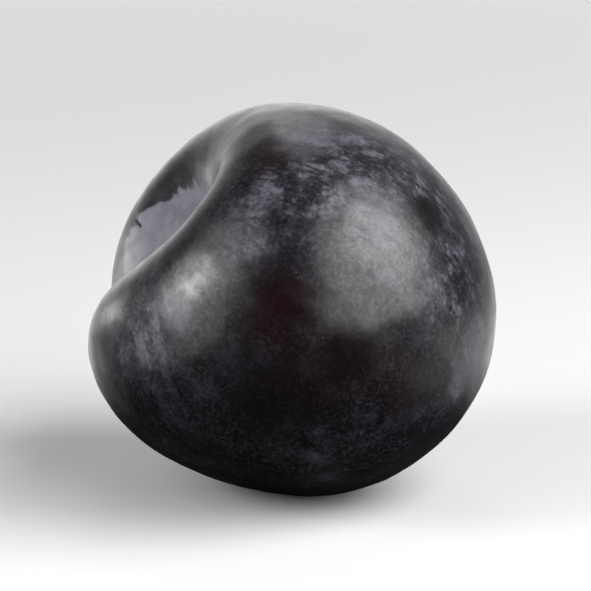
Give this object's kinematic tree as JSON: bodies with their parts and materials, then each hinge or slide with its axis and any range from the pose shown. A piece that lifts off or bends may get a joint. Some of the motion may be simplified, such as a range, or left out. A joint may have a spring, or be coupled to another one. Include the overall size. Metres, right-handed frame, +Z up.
{
  "type": "plum",
  "caption": "Whole dark plum as picked, with a stem cavity and a suture groove, lying on a small flat spot.",
  "frame": {"origin": "middle of the flat spot that the plum rests on, on the surface under it", "axes": "+Z up from that surface; the stem end leans 45 degrees from vertical towards -X and slightly -Y; +X to the right and +Y away from the viewer"},
  "size_m": [0.062, 0.067, 0.0596],
  "materials": {
    "skin": "near-black purple fruit skin, satin gloss under a thin uneven bluish-grey wax bloom"
  },
  "bodies": {
    "root": {"plum": "skin"}
  },
  "joints": []
}
